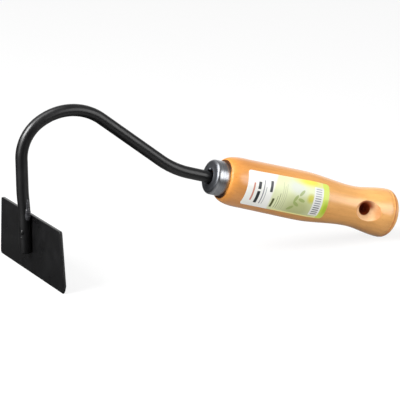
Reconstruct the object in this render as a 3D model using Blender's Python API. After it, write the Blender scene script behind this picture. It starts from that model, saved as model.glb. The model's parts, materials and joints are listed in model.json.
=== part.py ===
"""A short hand hoe: a pressed steel blade welded to a bent round bar, whose tang sits in a turned
wooden handle with a steel ferrule, a hang hole and a paper label.

Every piece is drawn in the handle's own frame: X runs along the handle's axis towards the butt,
with 0 at the wood's shoulder, where the ferrule ends. Z points to the side where the neck arches,
and Y runs along the cutting edge. The whole hoe is then turned to stand on its edge and its butt.
"""

import math

import bmesh
import bpy
from mathutils import Vector

MM = 0.001

# Running fits and seats
SEAT_GAP = 0.3 * MM
LABEL_GAP = 0.15 * MM

# Neck: one round bar from the tang to the blade, stepped and pressed flat where the blade sits
ROD_DIAMETER = 8.0 * MM
ROD_END_CHAMFER = 0.8 * MM
SEAT_FLAT = 0.8 * MM
JOGGLE_LENGTH = 18.0 * MM
NECK_DROP = 0.5 * MM
TANG_LENGTH = 62.0 * MM
TANG_POINT_LENGTH = 12.0 * MM
TANG_TIP_DIAMETER = 3.0 * MM
NECK_STUB = 15.2 * MM
RISE_RADIUS = 67.0 * MM
RISE_ANGLE = math.radians(20.5)
RISE_LENGTH = 52.5 * MM
ARCH_RADIUS = 38.0 * MM
ARCH_ANGLE = math.radians(69.5)
TURN_RADIUS = 27.0 * MM
TURN_ANGLE = math.radians(58.5)
LEG_LENGTH = 18.5 * MM

# Blade
BLADE_EDGE_WIDTH = 110.0 * MM
BLADE_TOP_WIDTH = 100.5 * MM
BLADE_ABOVE_ROD_END = 25.5 * MM
BLADE_BELOW_ROD_END = 14.0 * MM
BLADE_THICKNESS = 2.0 * MM
BLADE_LOWER_CORNER = 2.5 * MM
BLADE_UPPER_CORNER = 1.5 * MM
GRIND_LENGTH = 5.0 * MM
EDGE_THICKNESS = 0.5 * MM

# Welds between the bar and the blade's outer face
SIDE_WELD_DIAMETER = 5.2 * MM
SIDE_WELD_LENGTH = 17.5 * MM
SIDE_WELD_ABOVE_BLADE = 1.0 * MM
SIDE_WELD_OFF_FLANK = 0.8 * MM
SIDE_WELD_OFF_BLADE = 1.8 * MM
TACK_DIAMETER = 4.4 * MM
TACK_LENGTH = 16.0 * MM
TACK_ABOVE_BLADE = 11.0 * MM
TACK_OFF_FLANK = -0.5 * MM
TACK_OFF_BLADE = 2.0 * MM
WELD_RIPPLE = 1.7 * MM
WELD_RIPPLE_DEPTH = 0.2 * MM

# Ferrule: a drawn cup with a hole in its face
FERRULE_DIAMETER = 23.6 * MM
FERRULE_LENGTH = 9.8 * MM
FERRULE_WALL = 1.0 * MM
FERRULE_FACE = 1.2 * MM
FERRULE_ROUND = 2.4 * MM
FERRULE_HOLE_CLEARANCE = 1.4 * MM
FERRULE_HOLE_ROUND = 0.4 * MM

# Handle, turned
HANDLE_LENGTH = 135.8 * MM
TENON_CLEARANCE = 4.5 * MM
SHOULDER_STEP = 0.9 * MM
SHOULDER_ROUND = 12.5 * MM
GRIP_START_DIAMETER = 33.2 * MM
BELLY_DIAMETER = 34.0 * MM
BELLY_AT = 61.0 * MM
WAIST_DIAMETER = 28.0 * MM
WAIST_FROM_BUTT = 34.0 * MM
BUTT_DIAMETER = 34.0 * MM
BUTT_ROUND = 6.3 * MM
BUTT_FLAT_DIAMETER = 16.6 * MM

# Hang hole through the handle
HANG_HOLE_FROM_BUTT = 27.3 * MM
HANG_HOLE_RISE = 1.3 * MM
HANG_HOLE_DIAMETER = 8.8 * MM
SINK_DEPTH = 4.3 * MM
SINK_SLOPE = math.tan(math.radians(47.0))

# Paper label
LABEL_START = 11.0 * MM
LABEL_LENGTH = 64.3 * MM
LABEL_WIDTH = 25.6 * MM
LABEL_THICKNESS = 0.25 * MM
LABEL_CORNER = 2.0 * MM

# Facets
TURNED_SIDES = 48
BORE_SIDES = 32
WELD_SIDES = 20
ROD_RESOLUTION = 10
BEND_STEP = math.radians(4.5)
ROUND_STEPS = 8
BELLY_STEPS = 6
WAIST_STEPS = 9
BUTT_STEPS = 7

# Sizes that follow from the ones above
ROD_RADIUS = ROD_DIAMETER / 2
ROD_SPACE = ROD_RADIUS + SEAT_GAP
SEAT_FACE = ROD_RADIUS - SEAT_FLAT
BLADE_FACE = SEAT_FACE + SEAT_GAP
HANG_HOLE_AT = HANDLE_LENGTH - HANG_HOLE_FROM_BUTT

X_AXIS = Vector((1, 0, 0))
Y_AXIS = Vector((0, 1, 0))
Z_AXIS = Vector((0, 0, 1))


def clear_scene():
    for obj in list(bpy.data.objects):
        bpy.data.objects.remove(obj)


def finish(name, colour, roughness, metallic):
    material = bpy.data.materials.new(name)
    material.use_nodes = True
    shader = material.node_tree.nodes["Principled BSDF"]
    shader.inputs["Base Color"].default_value = (*colour, 1)
    shader.inputs["Roughness"].default_value = roughness
    shader.inputs["Metallic"].default_value = metallic
    return material


def add_object(name, data, parent, material=None):
    obj = bpy.data.objects.new(name, data)
    bpy.context.scene.collection.objects.link(obj)
    obj.parent = parent
    if material:
        data.materials.append(material)
    return obj


def mesh_object(name, bm, parent, material=None):
    mesh = bpy.data.meshes.new(name)
    bm.to_mesh(mesh)
    bm.free()
    mesh.shade_smooth()
    mesh.set_sharp_from_angle(angle=math.radians(35))
    return add_object(name, mesh, parent, material)


def turned(name, profile, axis, side, parent, material=None, closed=False, sides=TURNED_SIDES):
    """The profile's (distance along the axis, radius) points spun once round the axis."""
    bm = bmesh.new()
    verts = [bm.verts.new(axis * along + side * radius) for along, radius in profile]
    following = verts[1:] + verts[:1] if closed else verts[1:]
    edges = [bm.edges.new(pair) for pair in zip(verts, following)]
    bmesh.ops.spin(
        bm, geom=verts + edges, cent=(0, 0, 0), axis=axis, angle=math.tau, steps=sides
    )
    bmesh.ops.remove_doubles(bm, verts=bm.verts, dist=1e-6)
    bmesh.ops.recalc_face_normals(bm, faces=bm.faces)
    return mesh_object(name, bm, parent, material)


def cut(obj, cutter):
    """Takes the cutter away from the object, and hides the cutter."""
    boolean = obj.modifiers.new(cutter.name, "BOOLEAN")
    boolean.operation = "DIFFERENCE"
    boolean.object = cutter
    cutter.hide_render = True
    cutter.display_type = "WIRE"


def quarter_round(centre, along, radial, steps=ROUND_STEPS):
    """Points of a quarter ellipse round a centre, from its end on the radius to its end on the axis."""
    return [
        (centre[0] + along * math.sin(angle), centre[1] + radial * math.cos(angle))
        for angle in (math.pi / 2 * i / steps for i in range(steps + 1))
    ]


def eased(start, end, steps):
    """Points of a smooth run between two (distance, radius) places, level at both, without its start."""
    points = []
    for i in range(1, steps + 1):
        t = i / steps
        rise = t * t * (3 - 2 * t)
        points.append((start[0] + (end[0] - start[0]) * t, start[1] + (end[1] - start[1]) * rise))
    return points


def grip_profile():
    """The wood's outline that the hand feels, from the shoulder to the flat of the butt."""
    shoulder_radius = FERRULE_DIAMETER / 2 + SHOULDER_STEP
    shoulder = quarter_round(
        (SHOULDER_ROUND, shoulder_radius),
        -SHOULDER_ROUND,
        GRIP_START_DIAMETER / 2 - shoulder_radius,
    )[::-1]
    belly = (BELLY_AT, BELLY_DIAMETER / 2)
    waist = (HANDLE_LENGTH - WAIST_FROM_BUTT, WAIST_DIAMETER / 2)
    butt = (HANDLE_LENGTH - BUTT_ROUND, BUTT_DIAMETER / 2)
    end = quarter_round(
        (butt[0], BUTT_FLAT_DIAMETER / 2), BUTT_ROUND, (BUTT_DIAMETER - BUTT_FLAT_DIAMETER) / 2
    )
    return (
        shoulder
        + eased(shoulder[-1], belly, BELLY_STEPS)
        + eased(belly, waist, WAIST_STEPS)
        + eased(waist, butt, BUTT_STEPS)
        + end[1:]
    )


def radius_at(profile, along):
    for (x0, r0), (x1, r1) in zip(profile, profile[1:]):
        if x0 <= along <= x1 and x1 > x0:
            return r0 + (r1 - r0) * (along - x0) / (x1 - x0)
    raise ValueError(f"{along} is off the wood")


def make_handle(grip, parent, material):
    """Turned wood: a tenon for the ferrule, a drilled bore for the tang and a countersunk hang hole."""
    tenon_radius = FERRULE_DIAMETER / 2 - FERRULE_WALL - SEAT_GAP
    tenon_end = -(FERRULE_LENGTH - FERRULE_FACE - TENON_CLEARANCE)
    tenon = [
        (tenon_end, 0),
        (tenon_end, tenon_radius - FERRULE_ROUND),
        (tenon_end + FERRULE_ROUND, tenon_radius),
        (0, tenon_radius),
    ]
    butt_centre = [(HANDLE_LENGTH, 0)]
    handle = turned("handle", tenon + grip + butt_centre, X_AXIS, Z_AXIS, parent, material)

    bore = [
        (tenon_end - ROD_DIAMETER, 0),
        (tenon_end - ROD_DIAMETER, ROD_SPACE),
        (TANG_LENGTH + SEAT_GAP, ROD_SPACE),
        (TANG_LENGTH + SEAT_GAP, 0),
    ]
    tang_bore = turned("tang_bore", bore, X_AXIS, Z_AXIS, parent, sides=BORE_SIDES)
    tang_bore.location = (0, 0, -NECK_DROP)
    cut(handle, tang_bore)

    hole_radius = HANG_HOLE_DIAMETER / 2
    sink_start = radius_at(grip, HANG_HOLE_AT) - SINK_DEPTH
    reach = max(BELLY_DIAMETER, BUTT_DIAMETER) / 2
    mouth = hole_radius + (reach - sink_start) * SINK_SLOPE
    hole = [
        (-reach, 0),
        (-reach, mouth),
        (-sink_start, hole_radius),
        (sink_start, hole_radius),
        (reach, mouth),
        (reach, 0),
    ]
    hang_hole = turned("hang_hole", hole, Y_AXIS, Z_AXIS, parent, sides=BORE_SIDES)
    hang_hole.location = (HANG_HOLE_AT, 0, HANG_HOLE_RISE)
    cut(handle, hang_hole)
    return handle


def make_ferrule(parent, material):
    """A drawn steel cup over the tenon, with a rounded front edge and a hole wider than the bar."""
    front = -FERRULE_LENGTH
    outer = FERRULE_DIAMETER / 2
    hole = ROD_RADIUS + FERRULE_HOLE_CLEARANCE
    inner_round = FERRULE_ROUND - FERRULE_WALL
    lip = quarter_round(
        (front + FERRULE_HOLE_ROUND, hole + FERRULE_HOLE_ROUND),
        -FERRULE_HOLE_ROUND,
        -FERRULE_HOLE_ROUND,
        steps=3,
    )
    edge = quarter_round(
        (front + FERRULE_ROUND, outer - FERRULE_ROUND), -FERRULE_ROUND, FERRULE_ROUND, steps=5
    )[::-1]
    rim = [(-SEAT_GAP, outer), (-SEAT_GAP, outer - FERRULE_WALL)]
    inside = quarter_round(
        (front + FERRULE_FACE + inner_round, outer - FERRULE_WALL - inner_round),
        -inner_round,
        inner_round,
        steps=4,
    )
    profile = lip + edge + rim + inside + [(front + FERRULE_FACE, hole)]
    return turned("ferrule", profile, X_AXIS, Z_AXIS, parent, material, closed=True)


def bent_bar(start, heading, steps):
    """Points of a bar bent in one plane, and the heading that it ends with.

    A step is (length,) for a straight run, or (radius, angle) for a bend, positive to the left.
    """
    points = [start]
    for step in steps:
        here = points[-1]
        if len(step) == 1:
            points.append(here + step[0] * Vector((math.cos(heading), 0, math.sin(heading))))
            continue
        radius, angle = step
        side = math.copysign(radius, angle)
        centre = here + side * Vector((-math.sin(heading), 0, math.cos(heading)))
        count = math.ceil(abs(angle) / BEND_STEP)
        for i in range(1, count + 1):
            turned_to = heading + angle * i / count
            arm = Vector((-math.sin(turned_to), 0, math.cos(turned_to)))
            points.append(centre - side * arm)
        heading += angle
    return points, heading


def neck_route():
    """Points along the bar's middle, from the tang's point to the end on the blade."""
    step_angle = 2 * math.atan2(SEAT_FLAT, JOGGLE_LENGTH)
    step_radius = JOGGLE_LENGTH / (2 * math.sin(step_angle))
    return bent_bar(
        Vector((TANG_LENGTH, 0, -NECK_DROP)),
        math.pi,
        [
            (TANG_POINT_LENGTH,),
            (TANG_LENGTH - TANG_POINT_LENGTH + FERRULE_LENGTH + NECK_STUB,),
            (RISE_RADIUS, -RISE_ANGLE),
            (RISE_LENGTH,),
            (ARCH_RADIUS, ARCH_ANGLE),
            (TURN_RADIUS, TURN_ANGLE),
            (LEG_LENGTH,),
            (step_radius, step_angle),
            (step_radius, -step_angle),
            (BLADE_ABOVE_ROD_END - ROD_END_CHAMFER,),
            (ROD_END_CHAMFER,),
        ],
    )


def make_rod(name, points, radius, parent, material=None):
    """A round bar along the points, with the tang's point at its start and a chamfer at its end."""
    curve = bpy.data.curves.new(name, "CURVE")
    curve.dimensions = "3D"
    curve.bevel_depth = radius
    curve.bevel_resolution = ROD_RESOLUTION
    curve.use_fill_caps = True
    spline = curve.splines.new("POLY")
    spline.points.add(len(points) - 1)
    for place, point in zip(spline.points, points):
        place.co = (*point, 1)
    spline.points[0].radius = TANG_TIP_DIAMETER / ROD_DIAMETER
    spline.points[-1].radius = 1 - ROD_END_CHAMFER / ROD_RADIUS
    spline.use_smooth = True
    guide = add_object(name + "_route", curve, None)
    rod = bpy.data.meshes.new_from_object(guide.evaluated_get(bpy.context.evaluated_depsgraph_get()))
    bpy.data.objects.remove(guide)
    return add_object(name, rod, parent, material)


def blade_seat(rod_end, heading, parent):
    """An empty at the bar's end: X is square to the blade, towards the handle, and Z runs up the leg."""
    seat = add_object("blade_seat", None, parent)
    seat.location = rod_end
    seat.rotation_euler = (0, 3 * math.pi / 2 - heading, 0)
    return seat


def make_blade_space(parent):
    """The room that the plate takes beside the bar: it flattens the bar and trims the welds."""
    depth, width = ROD_DIAMETER * 2, ROD_DIAMETER * 6
    low, high = -BLADE_BELOW_ROD_END, BLADE_ABOVE_ROD_END + SEAT_GAP
    bm = bmesh.new()
    bmesh.ops.create_cube(bm, size=1)
    bmesh.ops.scale(bm, verts=bm.verts, vec=(depth, width, high - low))
    middle = (SEAT_FACE + depth / 2, 0, (low + high) / 2)
    bmesh.ops.translate(bm, verts=bm.verts, vec=middle)
    return mesh_object("blade_space", bm, parent)


def make_blade(parent, material):
    """A flat plate, wider at its edge, with rounded corners and its edge ground on the inner face."""
    corners = [
        (BLADE_TOP_WIDTH / 2, BLADE_ABOVE_ROD_END),
        (-BLADE_TOP_WIDTH / 2, BLADE_ABOVE_ROD_END),
        (-BLADE_EDGE_WIDTH / 2, -BLADE_BELOW_ROD_END),
        (BLADE_EDGE_WIDTH / 2, -BLADE_BELOW_ROD_END),
    ]
    bm = bmesh.new()
    face = bm.faces.new([bm.verts.new((BLADE_FACE, y, z)) for y, z in corners])
    extruded = bmesh.ops.extrude_face_region(bm, geom=[face])["geom"]
    moved = [item for item in extruded if isinstance(item, bmesh.types.BMVert)]
    bmesh.ops.translate(bm, verts=moved, vec=X_AXIS * BLADE_THICKNESS)
    for radius, upper in ((BLADE_UPPER_CORNER, True), (BLADE_LOWER_CORNER, False)):
        through = [
            edge
            for edge in bm.edges
            if edge.verts[0].co.yz == edge.verts[1].co.yz and (edge.verts[0].co.z > 0) == upper
        ]
        bmesh.ops.bevel(
            bm, geom=through, offset=radius, segments=6, affect="EDGES", profile=0.5
        )
    section = bmesh.ops.bisect_plane(
        bm,
        geom=bm.verts[:] + bm.edges[:] + bm.faces[:],
        plane_co=(BLADE_FACE + EDGE_THICKNESS, 0, -BLADE_BELOW_ROD_END),
        plane_no=(GRIND_LENGTH, 0, EDGE_THICKNESS - BLADE_THICKNESS),
        clear_outer=True,
    )["geom_cut"]
    ground = [item for item in section if isinstance(item, bmesh.types.BMEdge)]
    bmesh.ops.contextual_create(bm, geom=ground)
    bmesh.ops.recalc_face_normals(bm, faces=bm.faces)
    return mesh_object("blade", bm, parent, material)


def bead_profile(low, high, diameter):
    """A weld bead's (height, radius) points: rounded ends, and a ripple for each pass of the weld."""
    count = round((high - low) / WELD_RIPPLE) * 4
    points = []
    for i in range(count + 1):
        t = i / count
        bulge = math.sqrt(max(0.0, 1 - abs(2 * t - 1) ** 5))
        ripple = WELD_RIPPLE_DEPTH * (0.5 - 0.5 * math.cos(math.tau * i / 4))
        radius = (diameter / 2 - ripple) * bulge
        points.append((low + (high - low) * t, radius if 0 < i < count else 0))
    return points


def make_weld(name, top, length, diameter, place, spaces, parent, material):
    """A bead beside the bar, trimmed where the bar and the blade are."""
    profile = bead_profile(top - length, top, diameter)
    bead = turned(name, profile, Z_AXIS, X_AXIS, parent, material, sides=WELD_SIDES)
    bead.location = (*place, 0)
    for space in spaces:
        cut(bead, space)
    return bead


def make_label(grip, parent, material):
    """A sheet cut flat, creased where the wood has its facets, wrapped round it and thickened."""
    middle = radius_at(grip, LABEL_START + LABEL_LENGTH / 2)
    end = LABEL_START + LABEL_LENGTH
    bm = bmesh.new()
    flat = [
        (LABEL_START, -LABEL_WIDTH / 2),
        (end, -LABEL_WIDTH / 2),
        (end, LABEL_WIDTH / 2),
        (LABEL_START, LABEL_WIDTH / 2),
    ]
    bm.faces.new([bm.verts.new((x, y, 0)) for x, y in flat])
    bmesh.ops.bevel(
        bm, geom=bm.verts[:], offset=LABEL_CORNER, segments=3, affect="VERTICES", profile=0.5
    )
    facet = middle * math.tau / TURNED_SIDES
    columns = range(-TURNED_SIDES // 4, TURNED_SIDES // 4 + 1)
    creases = [(Vector((x, 0, 0)), X_AXIS) for x, _ in grip if LABEL_START < x < end]
    creases += [(Vector((0, facet * i, 0)), Y_AXIS) for i in columns]
    for place, normal in creases:
        everything = bm.verts[:] + bm.edges[:] + bm.faces[:]
        bmesh.ops.bisect_plane(bm, geom=everything, plane_co=place, plane_no=normal)
    for vert in bm.verts:
        angle = vert.co.y / middle
        radius = radius_at(grip, vert.co.x) + LABEL_GAP
        vert.co = Vector((vert.co.x, -radius * math.cos(angle), radius * math.sin(angle)))
    bmesh.ops.recalc_face_normals(bm, faces=bm.faces)
    label = mesh_object("paper_label", bm, parent, material)
    sheet = label.modifiers.new("sheet", "SOLIDIFY")
    sheet.thickness = LABEL_THICKNESS
    sheet.offset = 1
    if label.data.polygons[0].normal.y > 0:
        label.data.flip_normals()
    return label


def standing_turn(grip, rod_end, heading):
    """How far the handle's axis turns for the blade's edge and the butt to touch one floor."""
    down = Vector((math.cos(heading), 0, math.sin(heading)))
    inward = Vector((-down.z, 0, down.x))
    edge = rod_end + down * BLADE_BELOW_ROD_END + inward * BLADE_FACE
    return min(math.atan2(-radius - edge.z, along - edge.x) for along, radius in grip)


def stand_on_floor(hoe, parts):
    """Moves the hoe so that its lowest point is at Z = 0 and its box is centred over the origin."""
    bpy.context.view_layer.update()
    graph = bpy.context.evaluated_depsgraph_get()
    points = []
    for part in parts:
        solid = part.evaluated_get(graph)
        points += [part.matrix_world @ vert.co for vert in solid.to_mesh().vertices]
        solid.to_mesh_clear()
    low = [min(point[i] for point in points) for i in range(3)]
    high = [max(point[i] for point in points) for i in range(3)]
    hoe.location = (-(low[0] + high[0]) / 2, -(low[1] + high[1]) / 2, -low[2])


def main():
    clear_scene()
    enamel = finish("black_enamel", (0.012, 0.012, 0.013), 0.38, 0.0)
    steel = finish("polished_steel", (0.56, 0.57, 0.58), 0.16, 1.0)
    wood = finish("lacquered_beech", (0.80, 0.42, 0.13), 0.30, 0.0)
    paper = finish("printed_paper", (0.86, 0.87, 0.80), 0.45, 0.0)

    hoe = add_object("hoe", None, None)
    grip = grip_profile()
    handle = make_handle(grip, hoe, wood)
    ferrule = make_ferrule(hoe, steel)
    label = make_label(grip, hoe, paper)
    route, heading = neck_route()
    seat = blade_seat(route[-1], heading, hoe)
    blade = make_blade(seat, enamel)
    blade_space = make_blade_space(seat)
    neck = make_rod("neck", route, ROD_RADIUS, hoe, enamel)
    cut(neck, blade_space)

    spaces = [make_rod("neck_space", route, ROD_SPACE, hoe), blade_space]
    side_weld = make_weld(
        "side_weld",
        BLADE_ABOVE_ROD_END + SIDE_WELD_ABOVE_BLADE,
        SIDE_WELD_LENGTH,
        SIDE_WELD_DIAMETER,
        (SEAT_FACE - SIDE_WELD_OFF_BLADE, ROD_RADIUS + SIDE_WELD_OFF_FLANK),
        spaces,
        seat,
        enamel,
    )
    tack_weld = make_weld(
        "tack_weld",
        BLADE_ABOVE_ROD_END + TACK_ABOVE_BLADE,
        TACK_LENGTH,
        TACK_DIAMETER,
        (SEAT_FACE - TACK_OFF_BLADE, -ROD_RADIUS - TACK_OFF_FLANK),
        spaces,
        seat,
        enamel,
    )

    hoe.rotation_euler = (0, standing_turn(grip, route[-1], heading), 0)
    stand_on_floor(hoe, [handle, ferrule, label, neck, blade, side_weld, tack_weld])


main()
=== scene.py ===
"""The looks of a short hand hoe: a black enamelled blade on a bent bar, a drawn steel ferrule, a
turned and lacquered beech handle with a hang hole, and a printed paper label.

The neck, the ferrule, the handle and the label are modelled in the handle's own frame, with X along
its axis towards the butt and 0 at the wood's shoulder, Z to the side where the neck arches and Y along
the cutting edge. The blade, the welds and the spatter are modelled in a frame at the bar's lower end.
Each piece is then set down where its solid stands.
"""

import json
import math

import bmesh
import bpy
from mathutils import Matrix, Vector


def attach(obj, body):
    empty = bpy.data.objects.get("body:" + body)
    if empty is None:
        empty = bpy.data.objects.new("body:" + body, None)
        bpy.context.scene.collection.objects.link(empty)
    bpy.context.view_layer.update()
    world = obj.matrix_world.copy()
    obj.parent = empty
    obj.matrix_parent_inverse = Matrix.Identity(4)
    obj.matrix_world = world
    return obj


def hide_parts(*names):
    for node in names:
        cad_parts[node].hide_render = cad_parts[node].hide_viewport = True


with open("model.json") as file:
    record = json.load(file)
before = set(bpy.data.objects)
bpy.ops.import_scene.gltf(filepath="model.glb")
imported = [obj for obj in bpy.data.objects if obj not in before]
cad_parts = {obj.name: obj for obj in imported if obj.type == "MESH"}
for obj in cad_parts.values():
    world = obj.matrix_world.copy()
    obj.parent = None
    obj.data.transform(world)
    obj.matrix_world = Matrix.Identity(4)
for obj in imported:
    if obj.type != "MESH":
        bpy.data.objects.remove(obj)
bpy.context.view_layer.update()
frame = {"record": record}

MM = 0.001
# Points this close are merged, tests of a place have some slack, and blunter edges look smooth
MERGE_DISTANCE = 0.001 * MM
SLACK = 0.05 * MM
SMOOTH_ANGLE = math.radians(35)

# Neck: a drawn bar 8 mm thick, bent cold
ROD_RADIUS = 4.0 * MM
ROD_SIDES = 64
ROD_END_CHAMFER = 0.8 * MM
TANG_LENGTH = 62.0 * MM
TANG_POINT_LENGTH = 12.0 * MM
TANG_TIP_RADIUS = 1.5 * MM
NECK_DROP = 0.5 * MM
NECK_STUB = 15.2 * MM
RISE_RADIUS = 67.0 * MM
RISE_ANGLE = math.radians(20.5)
RISE_LENGTH = 52.5 * MM
ARCH_RADIUS = 38.0 * MM
ARCH_ANGLE = math.radians(69.5)
TURN_RADIUS = 27.0 * MM
TURN_ANGLE = math.radians(58.5)
LEG_LENGTH = 18.5 * MM
SEAT_FLAT = 0.8 * MM
JOGGLE_LENGTH = 18.0 * MM
BEND_STEP = math.radians(1.5)

# Blade: sheared from 2 mm plate
BLADE_EDGE_WIDTH = 110.0 * MM
BLADE_TOP_WIDTH = 100.5 * MM
BLADE_ABOVE_ROD_END = 25.5 * MM
BLADE_BELOW_ROD_END = 14.0 * MM
BLADE_THICKNESS = 2.0 * MM
BLADE_FACE = 3.5 * MM
BLADE_LOWER_CORNER = 2.5 * MM
BLADE_UPPER_CORNER = 1.5 * MM
BLADE_EDGE_ROUND = 0.22 * MM
GRIND_LENGTH = 5.0 * MM
EDGE_THICKNESS = 0.5 * MM

# Welds
BEAD_SIDES = 40
BEAD_STEP = 0.4 * MM
BEAD_TIP = 0.3
BEAD_BLUNTNESS = 5
BEAD_SAG = 0.22
TAIL_THINNING = 0.42
TAIL_TAPER = 0.09
RIPPLE_PITCH = 1.7 * MM
RIPPLE_DEPTH = 0.2 * MM
BEAD_LUMPS = (1.3 * MM, 0.55 * MM)
# Each bead: its low and high end, its radius, its centre beside the bar, and the share that is a tail
LONG_WELD = (9.0 * MM, 26.5 * MM, 2.6 * MM, (1.4 * MM, 4.8 * MM), 0.0)
SHORT_WELD = (22.0 * MM, 36.5 * MM, 2.0 * MM, (0.9 * MM, -3.4 * MM), 0.5)
# Each drop: its height over the bar's end, its turn round the bar in degrees, and its radius
SPATTER_DROPS = ((14.4 * MM, 40, 1.9 * MM), (10.6 * MM, 30, 0.8 * MM))
SPATTER_SUNK = 0.52
SPATTER_SQUASH = (0.8, 0.8, 1.15)
SPATTER_LUMPS = (1.2 * MM, 0.25 * MM)

# Ferrule
FERRULE_RADIUS = 11.8 * MM
FERRULE_LENGTH = 9.8 * MM
FERRULE_WALL = 1.0 * MM
FERRULE_ROUND = 2.4 * MM
FERRULE_HOLE_RADIUS = 5.4 * MM
FERRULE_LIP_WIDTH = 1.1 * MM
FERRULE_LIP_HEIGHT = 0.4 * MM
FERRULE_LIP_ROUND = 0.45 * MM
FERRULE_EDGE_ROUND = 0.15 * MM
BURR_RADIUS = 1.25 * MM
BURR_SQUASH = (0.9, 1, 0.9)
BURR_PLACE = (-10.2 * MM, 0.2 * MM, 4.9 * MM)
FERRULE_SIDES = 160
FERRULE_REAR_GAP = 0.1 * MM
SEAT_GAP = 0.3 * MM

# Handle
HANDLE_LENGTH = 135.8 * MM
HANDLE_SIDES = 128
TENON_RADIUS = 10.5 * MM
TENON_LENGTH = 4.1 * MM
SHOULDER_RADIUS = 12.7 * MM
SHOULDER_ROUND = 12.5 * MM
GRIP_START_RADIUS = 16.6 * MM
BELLY_RADIUS = 17.0 * MM
BELLY_AT = 61.0 * MM
WAIST_RADIUS = 14.0 * MM
WAIST_FROM_BUTT = 34.0 * MM
BUTT_RADIUS = 17.0 * MM
BUTT_ROUND = 6.3 * MM
BUTT_FLAT_RADIUS = 8.3 * MM
BUTT_LINE_WIDTH = 0.9 * MM
BUTT_LINE_DEPTH = 0.3 * MM
HANG_HOLE_AT = HANDLE_LENGTH - 27.3 * MM
HANG_HOLE_RISE = 1.3 * MM
HANG_HOLE_RADIUS = 4.4 * MM
SINK_DEPTH = 4.3 * MM
SINK_SLOPE = math.tan(math.radians(47.0))
HOLE_SIDES = 96
ROUND_STEPS = 24
FLANK_STEPS = 16
WAIST_STEPS = 20

# Label
LABEL_START = 11.0 * MM
LABEL_LENGTH = 64.3 * MM
LABEL_WIDTH = 25.6 * MM
LABEL_THICKNESS = 0.12 * MM
LABEL_LIFT = 0.03 * MM
LABEL_CORNER = 2.0 * MM
LABEL_CELL = 0.8 * MM
LABEL_TOP_RISE = 1.6 * MM
LABEL_FOOT_DROP = 1.0 * MM

# Print on the label, in millimetres along and across the sheet from its corner at the ferrule
SHEET = (LABEL_LENGTH / MM, LABEL_WIDTH / MM)
PAPER_WHITE = "#f1f1ec"
PRINT_BLUR = 0.15
# Ovals: centre, size, turn in degrees, strength, the share of them that is blurred, and ink
PRINTED_TINTS = (
    ((62, 9), (86, 84), 0, 1.0, 0.04, "#dee4b8"),
    ((42, 5), (36, 26), 12, 0.85, 0.7, "#b0b67a"),
    ((39, 19), (20, 12), -8, 0.8, 0.6, "#d5dad3"),
    ((49, 24.5), (30, 9), 0, 0.9, 0.7, "#e8df48"),
    ((50, 13.5), (7.5, 8), 0, 0.85, 0.6, "#c9c32a"),
)
BORDER_SHADE = ((SHEET[0] - 1, 8), (9, 15), 0, 0.9, 0.7, "#a8c420")
# Panels and bars: low corner, high corner and ink
EDGING = ((23.6, 0), (SHEET[0], 1.3), "#f3eda0")
BORDER = ((SHEET[0] - 5.2, 0), SHEET, "#d4e366")
RULED_PANEL = ((52, 2.2), (59.6, 21.6), "#e5e6e3")
PRINTED_BARS = (
    ((4.6, 5.0), (6.0, 17.5), "#c9836f"),
    ((8.2, 3.6), (10.6, 12.4), "#26282c"),
    ((8.2, 13.6), (10.6, 18.6), "#26282c"),
    ((12.4, 3.6), (13.3, 20.0), "#8b8d92"),
    ((14.4, 3.6), (15.0, 16.0), "#9b9da2"),
    ((17.4, 13.0), (19.6, 20.4), "#3a3c40"),
    ((21.0, 2.6), (22.8, 9.4), "#4d5216"),
    ((24.4, 2.4), (24.9, 11.6), "#7a7f4c"),
    ((26.0, 2.4), (26.5, 13.4), "#7a7f4c"),
    ((27.6, 2.4), (28.0, 21.0), "#a9ad84"),
    ((29.0, 2.4), (29.4, 18.6), "#a9ad84"),
    ((30.4, 2.4), (30.8, 20.2), "#a9ad84"),
)
# Leaves: the size of all, their strength, blur and ink, and then the centre and turn of each
LEAF_SIZE = (5.6, 2.2)
LEAF_PRINT = (0.75, 0.12, "#8fa353")
SPRIG_LEAVES = (
    ((36.5, 5.0), 40),
    ((39.5, 8.4), -28),
    ((38.6, 12.0), 62),
    ((43.0, 11.4), -12),
    ((42.6, 16.0), 48),
)
RULE_RUN = (53.2, 58.2)
RULE_START = 3.4
RULE_PITCH = 1.5
RULES_PER_TONE = 4
RULE_TONES = ("#34363b", "#7c7e84", "#9a9ca2")

# Settings that several shader nodes share
BLEND = {"data_type": "RGBA"}
DARKEN = {"data_type": "RGBA", "blend_type": "MULTIPLY"}
SMOOTH = {"interpolation_type": "SMOOTHSTEP"}

# Directions along the floor, as the photograph's view has them
VIEW_RIGHT = (0.9, -0.44, 0.0)
VIEW_BACK = (0.44, 0.9, 0.0)

# Camera: its place, the directions of its frame and its lens in millimetres
CAMERA_PLACE = (-0.66207, -1.32732, 0.39956)
CAMERA_RIGHT = (0.89933, -0.43677, 0.02104)
CAMERA_UP = (0.08537, 0.22256, 0.97117)
CAMERA_LENS = 205.72
CAMERA_SENSOR = 36.0

# Lamps: place and size in metres, and power in watts
LAMP_TARGET = (0, 0, 0.05)
LAMPS = {
    "left_softbox": ((-1.19, -0.08, 0.95), (0.85, 0.68), 36),
    "left_card": ((-1.3, -0.25, 0.3), (0.6, 0.7), 4.5),
    "front_softbox": ((0.9, -1.14, 0.45), (1.2, 1.2), 14.5),
    "overhead_softbox": ((-0.45, 0.03, 1.33), (0.78, 0.78), 7),
}
FLOOR_SIZE = 12.0


def handle_frame():
    """The turn and place of the handle's frame, read from the mount on the butt's flat."""
    butt = next(m for m in frame["record"]["mounts"] if m["name"] == "butt_end")
    along = Vector(butt["axis"]).normalized()
    across = Vector((0, 1, 0))
    turn = Matrix((along, across, along.cross(across))).transposed().to_4x4()
    return Matrix.Translation(Vector(butt["pos_m"]) - along * HANDLE_LENGTH) @ turn


HANDLE_FRAME = handle_frame()


# Modelling helpers


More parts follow.
